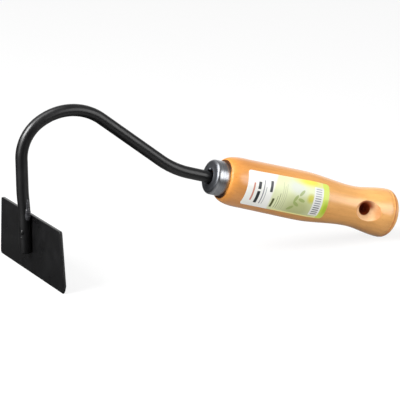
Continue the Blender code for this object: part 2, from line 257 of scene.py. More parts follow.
def begin(add, **settings):
    """Adds a primitive with nothing else selected, and opens it in edit mode."""
    bpy.ops.object.select_all(action="DESELECT")
    add(**settings)
    bpy.ops.object.transform_apply(location=True, rotation=True, scale=True)
    bpy.ops.object.mode_set(mode="EDIT")
    return bpy.context.object


def pick(kind, test):
    """In edit mode, selects the verts, edges or faces that pass the test, and nothing else."""
    bpy.ops.mesh.select_mode(type={"verts": "VERT", "edges": "EDGE", "faces": "FACE"}[kind])
    bpy.ops.mesh.select_all(action="DESELECT")
    mesh = bpy.context.object.data
    bm = bmesh.from_edit_mesh(mesh)
    for item in getattr(bm, kind):
        if test(item):
            item.select_set(True)
    bm.select_flush_mode()
    bmesh.update_edit_mesh(mesh)


def pull(offset, scale=(1, 1, 1)):
    """Extrudes what is selected, moves it by the offset and scales it about its middle."""
    bpy.ops.mesh.extrude_region_move(TRANSFORM_OT_translate={"value": offset})
    if tuple(scale) != (1, 1, 1):
        bpy.ops.transform.resize(value=scale)


def modify(obj, kind, **settings):
    """Adds a modifier with its settings and applies it."""
    modifier = obj.modifiers.new(kind.lower(), kind)
    for name, value in settings.items():
        setattr(modifier, name, value)
    bpy.context.view_layer.objects.active = obj
    bpy.ops.object.modifier_apply(modifier=modifier.name)


def slice_off(place, outward):
    """In edit mode, cuts what is selected along a plane, drops its outer side and fills the cut."""
    bpy.ops.mesh.bisect(
        plane_co=place, plane_no=outward, use_fill=True, clear_outer=True, threshold=MERGE_DISTANCE
    )


def close_up():
    """In edit mode, merges doubles and turns every face outwards."""
    bpy.ops.mesh.select_all(action="SELECT")
    bpy.ops.mesh.remove_doubles(threshold=MERGE_DISTANCE)
    bpy.ops.mesh.normals_make_consistent(inside=False)


def join(pieces):
    """Joins finished pieces into the first of them."""
    bpy.ops.object.select_all(action="DESELECT")
    for piece in pieces:
        piece.select_set(True)
    bpy.context.view_layer.objects.active = pieces[0]
    bpy.ops.object.join()
    return pieces[0]


def set_down(obj, name, place, material, solid=None):
    """Names the piece, bakes its place into its mesh, and hands it to the frame."""
    if obj.mode == "EDIT":
        bpy.ops.object.mode_set(mode="OBJECT")
    bpy.ops.object.select_all(action="DESELECT")
    obj.select_set(True)
    bpy.context.view_layer.objects.active = obj
    obj.matrix_world = place @ obj.matrix_world
    bpy.ops.object.transform_apply(location=True, rotation=True, scale=True)
    bpy.ops.object.shade_smooth_by_angle(angle=SMOOTH_ANGLE)
    obj.name = name
    obj.data.name = name
    obj.data.materials.clear()
    obj.data.materials.append(material)
    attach(obj, "root")
    if solid:
        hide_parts(solid)


# Material helpers


def colour(code):
    """A linear colour from an sRGB hex code."""
    parts = [int(code[i : i + 2], 16) / 255 for i in (1, 3, 5)]
    linear = [c / 12.92 if c <= 0.04045 else ((c + 0.055) / 1.055) ** 2.4 for c in parts]
    return (*linear, 1.0)


def empty_tree(owner):
    """The node tree of a material or a world, with nothing in it yet."""
    owner.use_nodes = True
    owner.node_tree.nodes.clear()
    return owner.node_tree


def node(tree, kind, settings=None, **links):
    """Adds a node with its settings and links.

    Settings are the node's own options, and "stops" are a ramp's places with their hex colours. Links
    are its sockets, by name or by number, each with a value, another socket, or the node that feeds it.
    """
    made = tree.nodes.new(kind)
    for name, value in (settings or {}).items():
        if name != "stops":
            setattr(made, name, value)
            continue
        elements = made.color_ramp.elements
        while len(elements) < len(value):
            elements.new(0.5)
        for element, (place, code) in zip(elements, value):
            element.position = place
            element.color = colour(code)
    for name, value in links.items():
        live = [s for s in made.inputs if s.enabled and s.name == name.replace("_", " ")]
        socket = live[0] if live else made.inputs[int(name[1:])]
        if isinstance(value, bpy.types.Node):
            value = next(s for s in value.outputs if s.enabled)
        if isinstance(value, bpy.types.NodeSocket):
            tree.links.new(value, socket)
        else:
            socket.default_value = value
    return made


def handle_coordinates(tree):
    """Object coordinates turned to the handle's frame, in metres."""
    place, turn, _ = HANDLE_FRAME.decompose()
    return node(
        tree,
        "ShaderNodeMapping",
        {"vector_type": "TEXTURE"},
        Vector=node(tree, "ShaderNodeTexCoord").outputs["Object"],
        Location=place,
        Rotation=turn.to_euler(),
    )


def spaced(along, across):
    """A pattern's scale on each axis, from how far apart its marks are along the handle and across."""
    return 1 / along, 1 / across, 1 / across


# Materials


def black_enamel(name, dark, light, roughness):
    """Black stoving enamel, sprayed on steel: near black, a soft gloss and a faint orange peel.

    Over weld metal it is thinner and glossier, and greyer, partly from the thin paint and partly as a
    painted highlight on the beads. The gloss is cloudy, in patches 9 mm apart, and the peel is 0.9 mm
    apart.
    """
    material = bpy.data.materials.new(name)
    tree = empty_tree(material)
    place = handle_coordinates(tree)
    cloud = node(tree, "ShaderNodeTexNoise", Vector=place, Scale=1 / (9.09 * MM), Detail=4.0)
    peel = node(tree, "ShaderNodeTexNoise", Vector=place, Scale=1 / (0.909 * MM), Detail=2.0)
    tone = node(tree, "ShaderNodeValToRGB", {"stops": ((0.3, dark), (0.7, light))}, Fac=cloud)
    gloss = node(
        tree,
        "ShaderNodeMapRange",
        Value=cloud,
        From_Min=0.3,
        From_Max=0.7,
        To_Min=roughness,
        To_Max=roughness + 0.11,
    )
    bump = node(tree, "ShaderNodeBump", Height=peel, Strength=0.3, Distance=0.04 * MM)
    shader = node(
        tree, "ShaderNodeBsdfPrincipled", Base_Color=tone, Roughness=gloss, Normal=bump
    )
    node(tree, "ShaderNodeOutputMaterial", Surface=shader)
    return material


def drawn_steel():
    """Drawn steel, polished in a lathe: bright, with fine rings round the cup and dull smudges.

    The rings are 0.7 mm apart, coarser than a lathe's, so that they show, and the smudges 4 mm. The
    face of the cup is duller, left as it was pressed, and its colour is darkened as painted shade for
    the dark surroundings it mirrors.
    """
    material = bpy.data.materials.new("drawn_polished_steel")
    tree = empty_tree(material)
    place = handle_coordinates(tree)
    ring_space = node(tree, "ShaderNodeMapping", Vector=place, Scale=spaced(0.6667 * MM, 40 * MM))
    rings = node(tree, "ShaderNodeTexNoise", Vector=ring_space, Scale=1.0, Detail=4.0)
    smudges = node(tree, "ShaderNodeTexNoise", Vector=place, Scale=1 / (4.167 * MM), Detail=4.0)
    turned = node(
        tree,
        "ShaderNodeValToRGB",
        {"stops": ((0.3, "#8e9094"), (0.55, "#a4a6aa"), (0.7, "#b0b2b5"))},
        Fac=rings,
    )
    rough = node(
        tree,
        "ShaderNodeMapRange",
        Value=smudges,
        From_Min=0.3,
        From_Max=0.7,
        To_Min=0.27,
        To_Max=0.36,
    )
    # Painted shade: the pressed face is darkened as well as dulled, for the dark surroundings it
    # mirrors
    face = node(
        tree,
        "ShaderNodeMapRange",
        Value=node(tree, "ShaderNodeSeparateXYZ", Vector=place).outputs["X"],
        From_Min=-FERRULE_LENGTH + 0.2 * MM,
        From_Max=-FERRULE_LENGTH + 1.0 * MM,
        To_Min=1.0,
        To_Max=0.0,
    )
    tone = node(tree, "ShaderNodeMix", DARKEN, Factor=face, A=turned, B=colour("#9c9da0"))
    dull = node(
        tree, "ShaderNodeMath", {"operation": "MULTIPLY_ADD"}, _0=face, _1=0.17, _2=rough
    )
    bump = node(tree, "ShaderNodeBump", Height=rings, Strength=0.12, Distance=0.03 * MM)
    shader = node(
        tree,
        "ShaderNodeBsdfPrincipled",
        Base_Color=tone,
        Metallic=1.0,
        Roughness=dull,
        Normal=bump,
    )
    node(tree, "ShaderNodeOutputMaterial", Surface=shader)
    return material


def lacquered_beech():
    """Beech under an amber lacquer: fine lengthwise grain, short dark flecks and a satin coat.

    The grain is 1.9 mm apart, coarser than the wood's own, so that it shows, on broad streaks 13 mm
    apart, and the flecks are 0.5 mm apart. The wood is paler towards the butt. The shoulder's face
    where the ferrule meets it is darkened above and below the middle as painted shade for the gap
    between the parts, and the turned line near the butt is darkened as painted shade in its groove.
    """
    material = bpy.data.materials.new("lacquered_beech")
    tree = empty_tree(material)
    place = handle_coordinates(tree)
    sides = node(tree, "ShaderNodeSeparateXYZ", Vector=place)
    along = sides.outputs["X"]

    grain_space = node(tree, "ShaderNodeMapping", Vector=place, Scale=spaced(33.33 * MM, 1.923 * MM))
    grain = node(
        tree, "ShaderNodeTexNoise", Vector=grain_space, Scale=1.0, Detail=5.0, Roughness=0.6
    )
    broad_space = node(tree, "ShaderNodeMapping", Vector=place, Scale=spaced(62.5 * MM, 13.33 * MM))
    broad = node(tree, "ShaderNodeTexNoise", Vector=broad_space, Scale=1.0, Detail=2.0)
    fleck_space = node(tree, "ShaderNodeMapping", Vector=place, Scale=spaced(3.333 * MM, 0.5 * MM))
    fleck = node(tree, "ShaderNodeTexNoise", Vector=fleck_space, Scale=1.0, Detail=1.0)
    amber = node(
        tree, "ShaderNodeValToRGB", {"stops": ((0.3, "#cf893c"), (0.7, "#d69144"))}, Fac=broad
    )
    pale = node(
        tree, "ShaderNodeValToRGB", {"stops": ((0.3, "#eaa85a"), (0.7, "#f0b266"))}, Fac=broad
    )
    faded = node(
        tree,
        "ShaderNodeMapRange",
        SMOOTH,
        Value=along,
        From_Min=0.0,
        From_Max=HANDLE_LENGTH - WAIST_FROM_BUTT,
    )
    streaks = node(
        tree, "ShaderNodeValToRGB", {"stops": ((0.32, "#cdb9a8"), (0.62, "#ffffff"))}, Fac=grain
    )
    flecks = node(
        tree, "ShaderNodeValToRGB", {"stops": ((0.28, "#b98552"), (0.36, "#ffffff"))}, Fac=fleck
    )
    plain = node(tree, "ShaderNodeMix", BLEND, Factor=faded, A=amber, B=pale)
    grained = node(tree, "ShaderNodeMix", DARKEN, Factor=0.3, A=plain, B=streaks)
    flecked = node(tree, "ShaderNodeMix", DARKEN, Factor=0.22, A=grained, B=flecks)

    # Painted shade: the shoulder's face is darkened above and below the middle, for the gap behind the
    # ferrule
    shoulder = node(
        tree,
        "ShaderNodeMapRange",
        Value=along,
        From_Min=0.06 * MM,
        From_Max=0.16 * MM,
        To_Min=1.0,
        To_Max=0.0,
    )
    off_middle = node(tree, "ShaderNodeMath", {"operation": "ABSOLUTE"}, _0=sides.outputs["Z"])
    shade_spread = node(
        tree,
        "ShaderNodeMapRange",
        SMOOTH,
        Value=off_middle,
        From_Min=5.0 * MM,
        From_Max=10.0 * MM,
    )
    painted_gap_shade = node(tree, "ShaderNodeMath", {"operation": "MULTIPLY"}, _0=shoulder, _1=shade_spread)
    gap_shaded = node(tree, "ShaderNodeMix", BLEND, Factor=painted_gap_shade, A=flecked, B=colour("#4c2c14"))

    # Painted shade: the turned line near the butt is darkened, for the shadow in its groove
    line_at = HANDLE_LENGTH - BUTT_ROUND + 0.8 * BUTT_LINE_WIDTH
    from_line = node(tree, "ShaderNodeMath", {"operation": "SUBTRACT"}, _0=along, _1=line_at)
    off_line = node(tree, "ShaderNodeMath", {"operation": "ABSOLUTE"}, _0=from_line)
    line = node(
        tree,
        "ShaderNodeMapRange",
        Value=off_line,
        From_Min=BUTT_LINE_WIDTH,
        From_Max=0.4 * BUTT_LINE_WIDTH,
        To_Max=0.6,
    )
    tone = node(tree, "ShaderNodeMix", DARKEN, Factor=line, A=gap_shaded, B=colour("#cf8f55"))
    lacquer = node(
        tree,
        "ShaderNodeMapRange",
        SMOOTH,
        Value=along,
        From_Min=0.5 * MM,
        From_Max=6.0 * MM,
        To_Min=0.2,
    )
    bump = node(tree, "ShaderNodeBump", Height=grain, Strength=0.12, Distance=0.05 * MM)
    shader = node(
        tree,
        "ShaderNodeBsdfPrincipled",
        Base_Color=tone,
        Roughness=0.5,
        Normal=bump,
        Specular_IOR_Level=0.2,
        Coat_Weight=lacquer,
        Coat_Roughness=0.27,
        Coat_IOR=1.7,
    )
    node(tree, "ShaderNodeOutputMaterial", Surface=shader)
    return material


def drilled_beech():
    """The wall of a hole drilled in beech: rough, not lacquered, and dark brown in patches 2 mm apart,
    partly charred by the bit and partly painted shade for the deep hole.
    """
    material = bpy.data.materials.new("drilled_beech")
    tree = empty_tree(material)
    # Partly painted shade: the wall's brown is darker than the wood, for the deep hole, and partly
    # charring
    charring_and_shade = node(
        tree,
        "ShaderNodeTexNoise",
        Vector=handle_coordinates(tree),
        Scale=1 / (2.0 * MM),
        Detail=3.0,
    )
    tone = node(
        tree, "ShaderNodeValToRGB", {"stops": ((0.3, "#943e14"), (0.7, "#b45824"))}, Fac=charring_and_shade
    )
    bump = node(tree, "ShaderNodeBump", Height=charring_and_shade, Strength=0.4, Distance=0.1 * MM)
    shader = node(
        tree,
        "ShaderNodeBsdfPrincipled",
        Base_Color=tone,
        Roughness=0.85,
        Normal=bump,
        Specular_IOR_Level=0.2,
    )
    node(tree, "ShaderNodeOutputMaterial", Surface=shader)
    return material


def countersunk_beech():
    """Bare beech in the countersinks: pale and dull, with end grain at both ends of the cut.

    It is darkened close above the hole as painted shade, where the cut's upper wall lies in shadow.
    The grain is 1.7 mm apart, coarser than the wood's own, so that it shows.
    """
    material = bpy.data.materials.new("countersunk_beech")
    tree = empty_tree(material)
    place = handle_coordinates(tree)
    grain_space = node(tree, "ShaderNodeMapping", Vector=place, Scale=spaced(16.67 * MM, 1.667 * MM))
    grain = node(tree, "ShaderNodeTexNoise", Vector=grain_space, Scale=1.0, Detail=4.0)
    bare = node(
        tree, "ShaderNodeValToRGB", {"stops": ((0.3, "#e8b680"), (0.7, "#f1c696"))}, Fac=grain
    )
    from_hole = node(
        tree,
        "ShaderNodeVectorMath",
        {"operation": "SUBTRACT"},
        _0=place,
        _1=(HANG_HOLE_AT, 0, HANG_HOLE_RISE),
    )
    sides = node(tree, "ShaderNodeSeparateXYZ", Vector=from_hole)
    flat = node(tree, "ShaderNodeCombineXYZ", X=sides.outputs["X"], Z=sides.outputs["Z"])
    reach = node(tree, "ShaderNodeVectorMath", {"operation": "LENGTH"}, _0=flat)
    # Painted shade: the cone is darkened close above the hole, where its upper wall lies in shadow
    near = node(
        tree,
        "ShaderNodeMapRange",
        SMOOTH,
        Value=reach,
        From_Min=HANG_HOLE_RADIUS,
        From_Max=HANG_HOLE_RADIUS + 4.0 * MM,
        To_Min=1.0,
        To_Max=0.0,
    )
    above = node(
        tree,
        "ShaderNodeMapRange",
        SMOOTH,
        Value=sides.outputs["Z"],
        From_Min=-1.0 * MM,
        From_Max=3.0 * MM,
    )
    upper_wall_shade = node(tree, "ShaderNodeMath", {"operation": "MULTIPLY"}, _0=near, _1=above)
    shaded_above = node(tree, "ShaderNodeMix", DARKEN, Factor=upper_wall_shade, A=bare, B=colour("#a85a26"))
    beside = node(tree, "ShaderNodeMath", {"operation": "ABSOLUTE"}, _0=sides.outputs["X"])
    end_grain = node(
        tree,
        "ShaderNodeMapRange",
        SMOOTH,
        Value=beside,
        From_Min=5.6 * MM,
        From_Max=8.8 * MM,
        To_Max=0.7,
    )
    tone = node(tree, "ShaderNodeMix", DARKEN, Factor=end_grain, A=shaded_above, B=colour("#d9a868"))
    shader = node(tree, "ShaderNodeBsdfPrincipled", Base_Color=tone, Roughness=0.6)
    node(tree, "ShaderNodeOutputMaterial", Surface=shader)
    return material


def panel(tree, sheet, low, high):
    """A mask for a printed rectangle from low to high, in millimetres on the sheet."""
    middle = [(a + b) / 2 for a, b in zip(low, high)]
    half = [(b - a) / 2 for a, b in zip(low, high)]
    offset = node(
        tree, "ShaderNodeVectorMath", {"operation": "SUBTRACT"}, _0=sheet, _1=(*middle, 0)
    )
    size = node(tree, "ShaderNodeVectorMath", {"operation": "ABSOLUTE"}, _0=offset)
    depth = node(tree, "ShaderNodeVectorMath", {"operation": "SUBTRACT"}, _0=(*half, 1), _1=size)
    sides = node(tree, "ShaderNodeSeparateXYZ", Vector=depth)
    least = node(
        tree, "ShaderNodeMath", {"operation": "MINIMUM"}, _0=sides.outputs["X"], _1=sides.outputs["Y"]
    )
    return node(tree, "ShaderNodeMapRange", Value=least, From_Min=0.0, From_Max=PRINT_BLUR)


def oval(tree, sheet, centre, size, turn, strength, blur):
    """A mask for a printed oval, as strong as given in its middle and blurred for a share of it.

    Its centre and size are in millimetres on the sheet, and its turn is in degrees.
    """
    inside = node(
        tree,
        "ShaderNodeMapping",
        {"vector_type": "TEXTURE"},
        Vector=sheet,
        Location=(*centre, 0),
        Rotation=(0, 0, math.radians(turn)),
        Scale=(size[0] / 2, size[1] / 2, 1),
    )
    reach = node(tree, "ShaderNodeVectorMath", {"operation": "LENGTH"}, _0=inside)
    return node(
        tree,
        "ShaderNodeMapRange",
        Value=reach,
        From_Min=1.0,
        From_Max=1.0 - blur,
        To_Max=strength,
    )


def printed_paper():
    """Coated paper, offset printed and glued on: smooth, a low gloss, flat inks with crisp edges.

    The print is a plain one: bars, a sprig of leaves in a pale green field, and ruled lines.
    """
    material = bpy.data.materials.new("printed_coated_paper")
    tree = empty_tree(material)
    unwrapped = node(tree, "ShaderNodeUVMap", {"uv_map": "print"})
    sheet = node(tree, "ShaderNodeMapping", Vector=unwrapped, Scale=(*SHEET, 1))

    prints = [(oval, *tint) for tint in PRINTED_TINTS]
    prints += [(panel, *bar) for bar in PRINTED_BARS]
    prints += [(oval, centre, LEAF_SIZE, turn, *LEAF_PRINT) for centre, turn in SPRIG_LEAVES]
    prints += [(panel, *EDGING), (panel, *BORDER), (oval, *BORDER_SHADE), (panel, *RULED_PANEL)]
    for i in range(RULES_PER_TONE * len(RULE_TONES)):
        low = (RULE_RUN[0], RULE_START + i * RULE_PITCH)
        high = (RULE_RUN[1], low[1] + RULE_PITCH / 2)
        prints.append((panel, low, high, RULE_TONES[i // RULES_PER_TONE]))

    printed = colour(PAPER_WHITE)
    for mask, *shape, code in prints:
        where = mask(tree, sheet, *shape)
        printed = node(tree, "ShaderNodeMix", BLEND, Factor=where, A=printed, B=colour(code))
    shader = node(tree, "ShaderNodeBsdfPrincipled", Base_Color=printed, Roughness=0.36)
    node(tree, "ShaderNodeOutputMaterial", Surface=shader)
    return material


# Pieces


def bend(place, heading, radius, angle):
    """Spins the selected end of the bar round a bend, and returns where it ends."""
    side = math.copysign(radius, angle)
    centre = place + side * Vector((-math.sin(heading), 0, math.cos(heading)))
    steps = math.ceil(abs(angle) / BEND_STEP)
    bpy.ops.mesh.spin(steps=steps, angle=angle, center=centre, axis=(0, 1, 0))
    heading += angle
    return centre - side * Vector((-math.sin(heading), 0, math.cos(heading))), heading


def straight(place, heading, length):
    """Pulls the selected end of the bar straight on."""
    step = length * Vector((math.cos(heading), 0, math.sin(heading)))
    pull(step)
    return place + step, heading


def seat_frame(rod_end, heading):
    """The frame at the bar's end: X square to the blade, towards the handle, and Z up the leg."""
    return Matrix.Translation(rod_end) @ Matrix.Rotation(1.5 * math.pi - heading, 4, "Y")


def make_neck():
    """A disc pulled and spun along the bar's run, from the tang's point to the end on the blade."""
    step_angle = 2 * math.atan2(SEAT_FLAT, JOGGLE_LENGTH)
    step_radius = JOGGLE_LENGTH / (2 * math.sin(step_angle))
    place = Vector((TANG_LENGTH, 0, -NECK_DROP))
    heading = math.pi
    neck = begin(
        bpy.ops.mesh.primitive_circle_add,
        vertices=ROD_SIDES,
        radius=TANG_TIP_RADIUS,
        fill_type="NGON",
        location=place,
        rotation=(0, -math.pi / 2, 0),
    )
    place, heading = straight(place, heading, TANG_POINT_LENGTH)
    bpy.ops.transform.resize(value=[ROD_RADIUS / TANG_TIP_RADIUS] * 3)
    stub = TANG_LENGTH - TANG_POINT_LENGTH + FERRULE_LENGTH + NECK_STUB
    place, heading = straight(place, heading, stub)
    place, heading = bend(place, heading, RISE_RADIUS, -RISE_ANGLE)
    place, heading = straight(place, heading, RISE_LENGTH)
    place, heading = bend(place, heading, ARCH_RADIUS, ARCH_ANGLE)
    place, heading = bend(place, heading, TURN_RADIUS, TURN_ANGLE)
    place, heading = straight(place, heading, LEG_LENGTH)
    place, heading = bend(place, heading, step_radius, step_angle)
    place, heading = bend(place, heading, step_radius, -step_angle)
    place, heading = straight(place, heading, BLADE_ABOVE_ROD_END - ROD_END_CHAMFER)
    place, heading = straight(place, heading, ROD_END_CHAMFER)
    bpy.ops.transform.resize(value=[1 - ROD_END_CHAMFER / ROD_RADIUS] * 3)

    seat = seat_frame(place, heading)
    to_seat = seat.inverted()
    joggle_top = BLADE_ABOVE_ROD_END + JOGGLE_LENGTH

    def on_leg(face):
        places = [to_seat @ vert.co for vert in face.verts]
        return all(p.z < joggle_top and p.x < 2 * ROD_RADIUS for p in places)

    pick("faces", on_leg)
    slice_off(seat @ Vector((BLADE_FACE, 0, 0)), seat.to_3x3() @ Vector((1, 0, 0)))
    close_up()
    return neck, seat


def make_blade():
    """A block sheared to a trapezoid, with rounded corners, a ground edge and dulled arrises."""
    height = BLADE_ABOVE_ROD_END + BLADE_BELOW_ROD_END
    middle = (BLADE_ABOVE_ROD_END - BLADE_BELOW_ROD_END) / 2
    blade = begin(
        bpy.ops.mesh.primitive_cube_add,
        size=1,
        location=(BLADE_FACE + BLADE_THICKNESS / 2, 0, middle),
    )
    bpy.ops.transform.resize(value=(BLADE_THICKNESS, BLADE_EDGE_WIDTH, height))
    pick("verts", lambda vert: vert.co.z > middle)
    bpy.ops.transform.resize(value=(1, BLADE_TOP_WIDTH / BLADE_EDGE_WIDTH, 1))
    for radius, upper in ((BLADE_UPPER_CORNER, True), (BLADE_LOWER_CORNER, False)):
        pick(
            "edges",
            lambda edge: abs(edge.verts[0].co.x - edge.verts[1].co.x) > BLADE_THICKNESS / 2
            and (edge.verts[0].co.z > middle) == upper,
        )
        bpy.ops.mesh.bevel(offset=radius, segments=14, affect="EDGES")
    bpy.ops.mesh.select_all(action="SELECT")
    slice_off(
        Vector((BLADE_FACE + EDGE_THICKNESS, 0, -BLADE_BELOW_ROD_END)),
        Vector((GRIND_LENGTH, 0, EDGE_THICKNESS - BLADE_THICKNESS)).normalized(),
    )
    close_up()
    bpy.ops.object.mode_set(mode="OBJECT")
    modify(
        blade,
        "BEVEL",
        width=BLADE_EDGE_ROUND,
        segments=3,
        limit_method="ANGLE",
        angle_limit=math.radians(10),
    )
    return blade


def make_bead(low, high, radius, centre, tail):
    """A weld bead run upwards: rounded ends, and a crescent ripple where each drop froze.

    The tail is the share of its length, at the top, where the bead is only a thin run.
    """
    count = round((high - low) / BEAD_STEP)
    bead = begin(
        bpy.ops.mesh.primitive_circle_add,
        vertices=BEAD_SIDES,
        radius=radius,
        fill_type="NGON",
        location=(*centre, low),
    )
    bpy.ops.transform.resize(value=(BEAD_TIP, BEAD_TIP, 1))
    width = BEAD_TIP
    for i in range(1, count + 1):
        t = i / count
        bulge = max(BEAD_TIP, (1 - abs(2 * t - 1) ** BEAD_BLUNTNESS) ** 0.5)
        bulge *= 1 - TAIL_THINNING * min(max((t - 1 + tail) / TAIL_TAPER, 0), 1)
        phase = (high - low) * t / RIPPLE_PITCH % 1
        wanted = bulge * (1 - RIPPLE_DEPTH / radius * (1 - phase) ** 2)
        pull((0, 0, (high - low) / count), (wanted / width, wanted / width, 1))
        width = wanted
    close_up()
    bpy.ops.object.mode_set(mode="OBJECT")
    for vert in bead.data.vertices:
        offset = Vector((vert.co.x - centre[0], vert.co.y - centre[1]))
        vert.co.z -= BEAD_SAG * offset.length_squared / radius
    roughen(bead, *BEAD_LUMPS)
    return bead


def roughen(obj, scale, depth):
    """Lumps the surface, as weld metal does when it freezes."""
    lumps = bpy.data.textures.new("weld_lumps", "CLOUDS")
    lumps.noise_scale = scale
    modify(obj, "DISPLACE", texture=lumps, strength=depth, mid_level=0.5)


def make_spatter():
    """Two drops of weld metal that froze on the bar's outer side, each a squat, lumpy dome."""
    drops = []
    for height, turn, radius in SPATTER_DROPS:
        out = ROD_RADIUS - SPATTER_SUNK * radius
        place = Matrix.Rotation(math.radians(turn), 3, "Z") @ Vector((-out, 0, 0))
        drop = begin(
            bpy.ops.mesh.primitive_uv_sphere_add,
            segments=32,
            ring_count=20,
            radius=radius,
            location=(place.x, place.y, height),
        )
        bpy.ops.transform.resize(value=SPATTER_SQUASH)
        bpy.ops.object.mode_set(mode="OBJECT")
        roughen(drop, *SPATTER_LUMPS)
        drops.append(drop)
    return join(drops)


def make_ferrule():
    """A cup drawn from sheet, with a round shoulder; its hole has a lip, and a burr from the punch."""
    length = FERRULE_LENGTH - FERRULE_REAR_GAP
    ferrule = begin(
        bpy.ops.mesh.primitive_circle_add,
        vertices=FERRULE_SIDES,
        radius=FERRULE_RADIUS,
        fill_type="NOTHING",
        location=(-FERRULE_REAR_GAP, 0, 0),
        rotation=(0, math.pi / 2, 0),
    )
    pull((-length, 0, 0))
    lip_radius = FERRULE_HOLE_RADIUS + FERRULE_LIP_WIDTH
    inward = lip_radius / FERRULE_RADIUS
    pull((0, 0, 0), (1, inward, inward))
    inward = FERRULE_HOLE_RADIUS / lip_radius
    pull((-FERRULE_LIP_HEIGHT, 0, 0), (1, inward, inward))
    middle = (FERRULE_HOLE_RADIUS + FERRULE_RADIUS) / 2
    pick(
        "edges",
        lambda edge: all(
            vert.co.x < -length / 2 and vert.co.yz.length > middle for vert in edge.verts
        ),
    )
    bpy.ops.mesh.bevel(offset=FERRULE_ROUND, segments=12, affect="EDGES")
    close_up()
    bpy.ops.object.mode_set(mode="OBJECT")
    modify(ferrule, "SOLIDIFY", thickness=FERRULE_WALL, offset=-1)
    bpy.ops.object.mode_set(mode="EDIT")
    lip_front = -FERRULE_LENGTH - FERRULE_LIP_HEIGHT
    pick("edges", lambda edge: all(vert.co.x < lip_front + SLACK for vert in edge.verts))
    bpy.ops.mesh.bevel(offset=FERRULE_LIP_ROUND, segments=6, affect="EDGES")
    bpy.ops.object.mode_set(mode="OBJECT")
    modify(
        ferrule,
        "BEVEL",
        width=FERRULE_EDGE_ROUND,
        segments=2,
        limit_method="ANGLE",
        angle_limit=math.radians(50),
    )
    burr = begin(
        bpy.ops.mesh.primitive_uv_sphere_add,
        segments=24,
        ring_count=16,
        radius=BURR_RADIUS,
        location=BURR_PLACE,
    )
    bpy.ops.transform.resize(value=BURR_SQUASH)
    bpy.ops.object.mode_set(mode="OBJECT")
    return join([ferrule, burr])


def rounded(centre, along, radial):
    """Points of a quarter ellipse round a centre, from its end on the radius to its end on the axis."""
    turns = [math.pi / 2 * i / ROUND_STEPS for i in range(ROUND_STEPS + 1)]
    return [(centre[0] + along * math.sin(a), centre[1] + radial * math.cos(a)) for a in turns]


def eased(start, end, steps):
    """Points of a smooth run between two (distance, radius) places, without its start."""
    points = []
    for i in range(1, steps + 1):
        t = i / steps
        rise = t * t * (3 - 2 * t)
        points.append((start[0] + (end[0] - start[0]) * t, start[1] + (end[1] - start[1]) * rise))
    return points


def grip_profile():
    """The wood's (distance, radius) outline that the hand feels, from the shoulder to the butt."""
    shoulder = rounded(
        (SHOULDER_ROUND, SHOULDER_RADIUS),
        -SHOULDER_ROUND,
        GRIP_START_RADIUS - SHOULDER_RADIUS,
    )[::-1]
    belly = (BELLY_AT, BELLY_RADIUS)
    waist = (HANDLE_LENGTH - WAIST_FROM_BUTT, WAIST_RADIUS)
    butt = (HANDLE_LENGTH - BUTT_ROUND, BUTT_RADIUS)
    end = rounded((butt[0], BUTT_FLAT_RADIUS), BUTT_ROUND, BUTT_RADIUS - BUTT_FLAT_RADIUS)
    before, after = (butt[0] + side * BUTT_LINE_WIDTH for side in (-1, 1))
    crest = [
        (before, BUTT_RADIUS - BUTT_LINE_DEPTH),
        butt,
        (after, radius_at(end, after) - BUTT_LINE_DEPTH),
    ]
    to_belly = eased(shoulder[-1], belly, FLANK_STEPS)
    to_waist = eased(belly, waist, WAIST_STEPS)
    flare = [p for p in eased(waist, butt, FLANK_STEPS) if p[0] < before - BUTT_LINE_WIDTH / 2]
    rest = [p for p in end if p[0] > after + BUTT_LINE_WIDTH / 2]
    return shoulder + to_belly + to_waist + flare + crest + rest


def radius_at(profile, along):
    """The radius of a (distance, radius) profile at a distance along it."""
    for (x0, r0), (x1, r1) in zip(profile, profile[1:]):
        if x0 <= along <= x1 and x1 > x0:
            return r0 + (r1 - r0) * (along - x0) / (x1 - x0)
    raise ValueError(f"{along} is off the wood")


def pull_through(stations):
    """Pulls the selected ring on along X, from the first of some (distance, radius) stations."""
    place, radius = stations[0]
    for along, wanted in stations[1:]:
        scale = wanted / radius
        pull((along - place, 0, 0), (1, scale, scale))
        place, radius = along, wanted


def make_handle(grip):
    """Wood turned between centres, bored for the tang and drilled and countersunk for hanging."""
    start = (-TENON_LENGTH, TENON_RADIUS - FERRULE_ROUND)
    tenon = [start, (start[0] + FERRULE_ROUND, TENON_RADIUS), (0, TENON_RADIUS)]
    handle = begin(
        bpy.ops.mesh.primitive_circle_add,
        vertices=HANDLE_SIDES,
        radius=start[1],
        fill_type="NGON",
        location=(start[0], 0, 0),
        rotation=(0, math.pi / 2, 0),
    )
    pull_through(tenon + grip)
    close_up()
    bpy.ops.object.mode_set(mode="OBJECT")

    bore_length = TENON_LENGTH + TANG_LENGTH + SEAT_GAP
    bore = begin(
        bpy.ops.mesh.primitive_cylinder_add,
        vertices=ROD_SIDES,
        radius=ROD_RADIUS + SEAT_GAP,
        depth=2 * bore_length,
        location=(TANG_LENGTH + SEAT_GAP - bore_length, 0, -NECK_DROP),
        rotation=(0, math.pi / 2, 0),
    )
    carve(handle, bore)
    carve(handle, hang_hole_cutter(grip))
    return handle


